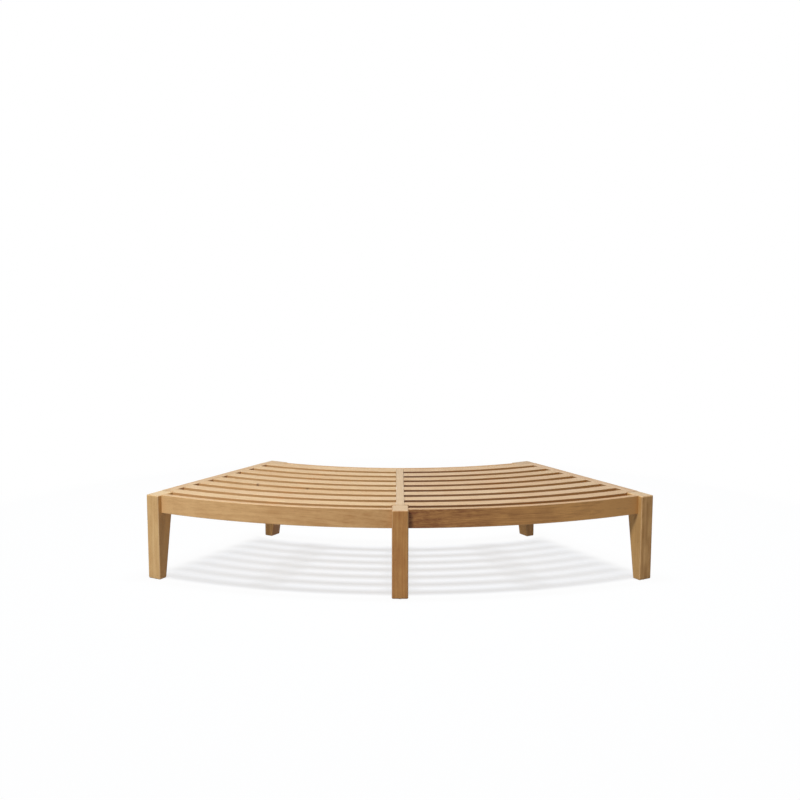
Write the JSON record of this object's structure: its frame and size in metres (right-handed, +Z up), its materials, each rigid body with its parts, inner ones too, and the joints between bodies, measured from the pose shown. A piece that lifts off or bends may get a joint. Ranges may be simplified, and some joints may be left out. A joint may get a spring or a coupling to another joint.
{
  "type": "curved slatted bench",
  "caption": "Low teak bench curved in plan: concentric slats in two halves beside a centre rail, held by curved front and rear rails, end rails and tapered legs.",
  "frame": {"origin": "on the floor, under the middle of the bench's bounding box", "axes": "+X to the right along the bench's length, -Y towards its convex front, +Z up"},
  "size_m": [1.9314, 0.9502, 0.33],
  "materials": {
    "teak_frame": "planed teak, lightly oiled",
    "teak_slats": "planed teak, lightly oiled",
    "teak_pegs": "teak end grain",
    "screw_steel": "stainless steel",
    "glide_nylon": "moulded nylon"
  },
  "bodies": {
    "root": {"front_center_leg": "teak_frame", "front_left_leg": "teak_frame", "front_right_leg": "teak_frame", "rear_left_leg": "teak_frame", "rear_right_leg": "teak_frame", "front_left_rail": "teak_frame", "front_right_rail": "teak_frame", "rear_rail": "teak_frame", "left_end_rail": "teak_frame", "right_end_rail": "teak_frame", "center_rail": "teak_frame", "left_batten": "teak_frame", "right_batten": "teak_frame", "left_slat_1": "teak_slats", "left_slat_2": "teak_slats", "left_slat_3": "teak_slats", "left_slat_4": "teak_slats", "left_slat_5": "teak_slats", "left_slat_6": "teak_slats", "left_slat_7": "teak_slats", "right_slat_1": "teak_slats", "right_slat_2": "teak_slats", "right_slat_3": "teak_slats", "right_slat_4": "teak_slats", "right_slat_5": "teak_slats", "right_slat_6": "teak_slats", "right_slat_7": "teak_slats", "left_rear_slat": "teak_slats", "right_rear_slat": "teak_slats", "rail_pegs": "teak_pegs", "left_batten_screws": "screw_steel", "right_batten_screws": "screw_steel", "front_left_glide": "glide_nylon", "front_center_glide": "glide_nylon", "front_right_glide": "glide_nylon", "rear_left_glide": "glide_nylon", "rear_right_glide": "glide_nylon"}
  },
  "joints": []
}
